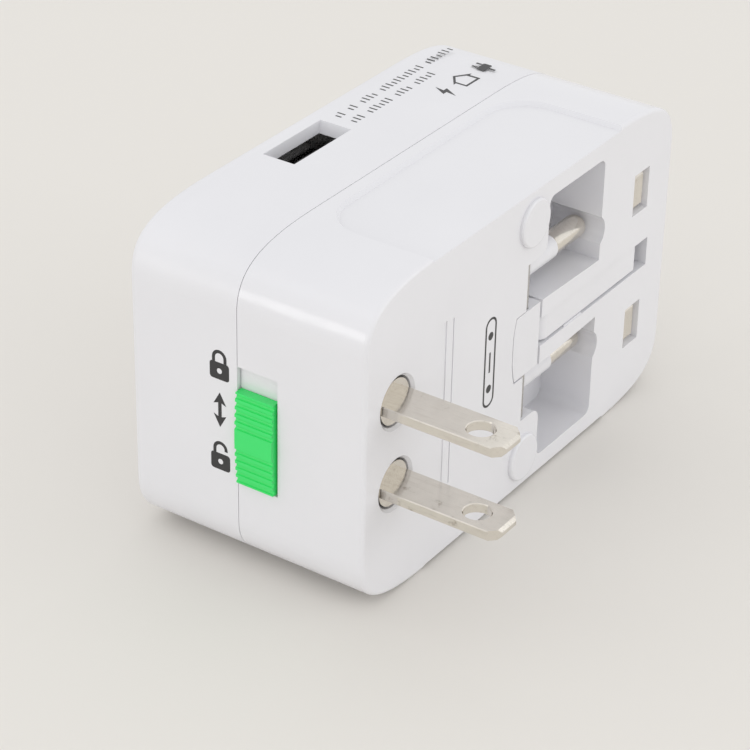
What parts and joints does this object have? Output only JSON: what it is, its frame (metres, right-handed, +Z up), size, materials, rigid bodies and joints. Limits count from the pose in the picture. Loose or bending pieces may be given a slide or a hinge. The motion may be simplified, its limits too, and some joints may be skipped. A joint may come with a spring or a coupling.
{
  "type": "universal travel adapter",
  "caption": "Travel plug adapter in two snap-together halves with folding, sliding and twisting pins, a lock slider, a universal socket and a USB charging port.",
  "frame": {"origin": "centre of the base of the whole object's box, with the flat blades out and the other pins folded away", "axes": "+X along the length towards the rectangular pins' end, +Y from the pins to the socket face, +Z up to the side with the USB port"},
  "size_m": [0.0803, 0.0563, 0.0486],
  "materials": {
    "plug_plastic": "moulded, glossy",
    "socket_plastic": "moulded, satin",
    "inner_plastic": "moulded, satin",
    "pin_plastic": "moulded, glossy",
    "slider_plastic": "moulded, bright green",
    "nickel": "nickel plated brass",
    "brass": "stamped",
    "steel": "plated",
    "dark_plastic": "moulded, black",
    "board": "coated fibre board",
    "capacitor_film": "epoxy case",
    "capacitor_can": "sleeved can",
    "led_lens": "clear red resin",
    "fuse_ceramic": "ceramic body with plated caps"
  },
  "bodies": {
    "socket_module": {"socket_shell": "socket_plastic", "socket_face_plate": "socket_plastic", "base_plate": "inner_plastic", "base_screws": "steel", "contact_live": "brass", "contact_neutral": "brass", "link_blade_live": "brass", "link_blade_neutral": "brass", "charger_board": "board", "usb_port_shell": "steel", "usb_tongue": "dark_plastic", "usb_contacts": "brass", "transformer": "dark_plastic", "film_capacitor": "capacitor_film", "electrolytic_capacitors": "capacitor_can", "indicator_led": "led_lens", "fuse": "fuse_ceramic", "fuse_clips": "brass", "shutter_spring": "steel"},
    "shutter": {"socket_shutter": "inner_plastic"},
    "plug_module": {"plug_shell": "plug_plastic", "plug_inner_cover": "inner_plastic", "cover_screws": "steel", "bus_strip_live": "brass", "bus_strip_neutral": "brass", "eu_axle": "steel", "eu_detent_spring": "steel", "earth_axle": "steel"},
    "lock": {"lock_slider": "slider_plastic", "lock_hook": "inner_plastic"},
    "eu_pins": {"eu_carriage": "pin_plastic", "eu_pin_live": "nickel", "eu_pin_neutral": "nickel"},
    "earth_pin": {"uk_earth_pin": "pin_plastic"},
    "uk_pins": {"uk_carrier": "inner_plastic", "uk_pin_live": "nickel", "uk_pin_neutral": "nickel"},
    "us_carriage": {"us_carrier": "inner_plastic"},
    "us_live": {"us_blade_live": "nickel"},
    "us_neutral": {"us_blade_neutral": "nickel"}
  },
  "joints": [
    {"name": "module_release", "type": "slide", "parent": "socket_module", "child": "plug_module", "axis": [0, -1, 0], "range_m": [0, 0.026]},
    {"name": "shutter_slide", "type": "slide", "parent": "socket_module", "child": "shutter", "axis": [1, 0, 0], "range_m": [0, 0.0072], "stiffness_N_per_m": 40, "springref_m": -0.003, "deforming": ["shutter_spring"]},
    {"name": "lock_slide", "type": "slide", "parent": "plug_module", "child": "lock", "axis": [0, 0, 1], "range_m": [0, 0.0034]},
    {"name": "eu_flip", "type": "hinge", "parent": "plug_module", "child": "eu_pins", "pos_m": [0.0011, -0.0094, 0.0243], "axis": [0, 0, -1], "range_deg": [0, 90]},
    {"name": "earth_flip", "type": "hinge", "parent": "plug_module", "child": "earth_pin", "pos_m": [0.00695, -0.0083, 0.0243], "axis": [0, 0, -1], "range_deg": [0, 90]},
    {"name": "uk_extend", "type": "slide", "parent": "plug_module", "child": "uk_pins", "axis": [0, -1, 0], "range_m": [0, 0.0182]},
    {"name": "us_retract", "type": "slide", "parent": "plug_module", "child": "us_carriage", "axis": [0, 1, 0], "range_m": [0, 0.0174]},
    {"name": "us_twist_live", "type": "hinge", "parent": "us_carriage", "child": "us_live", "pos_m": [-0.03175, -0.00925, 0.03065], "axis": [0, 1, 0], "range_deg": [0, 30]},
    {"name": "us_twist_neutral", "type": "hinge", "parent": "us_carriage", "child": "us_neutral", "pos_m": [-0.03175, -0.00925, 0.01795], "axis": [0, -1, 0], "range_deg": [0, 30]}
  ]
}
